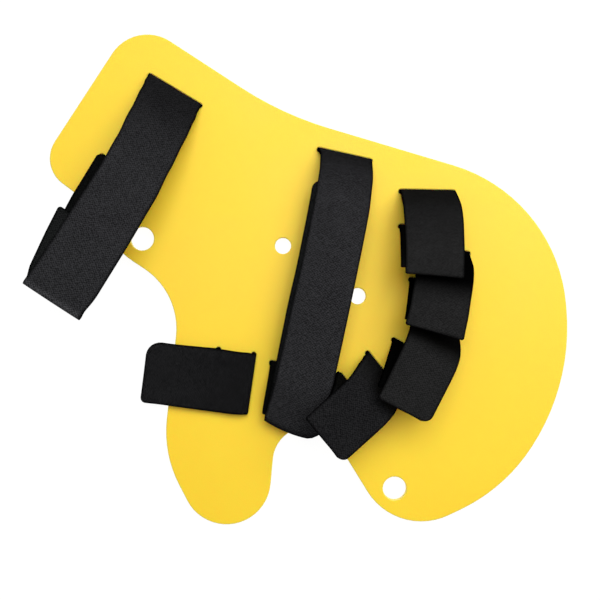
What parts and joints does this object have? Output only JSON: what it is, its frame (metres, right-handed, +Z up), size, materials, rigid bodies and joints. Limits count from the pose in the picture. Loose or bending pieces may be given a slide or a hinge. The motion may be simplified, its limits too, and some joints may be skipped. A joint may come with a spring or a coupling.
{
  "type": "hand splint",
  "caption": "Flat hand-shaped plastic board with webbing straps laced through slots to hold the forearm, palm, thumb and fingers flat.",
  "frame": {"origin": "middle of the underside of the whole splint's bounding box", "axes": "+X from the heel edge of the board to the fingertips, +Y to the little finger side, +Z up from the board to the straps"},
  "size_m": [0.2834, 0.2194, 0.0411],
  "materials": {
    "board": "satin moulded polyethylene sheet",
    "webbing": "finely woven black webbing"
  },
  "bodies": {
    "root": {"board": "board", "forearm_strap": "webbing", "palm_strap": "webbing", "thumb_strap": "webbing", "little_strap": "webbing", "ring_strap": "webbing", "middle_strap": "webbing", "index_strap": "webbing"}
  },
  "joints": []
}
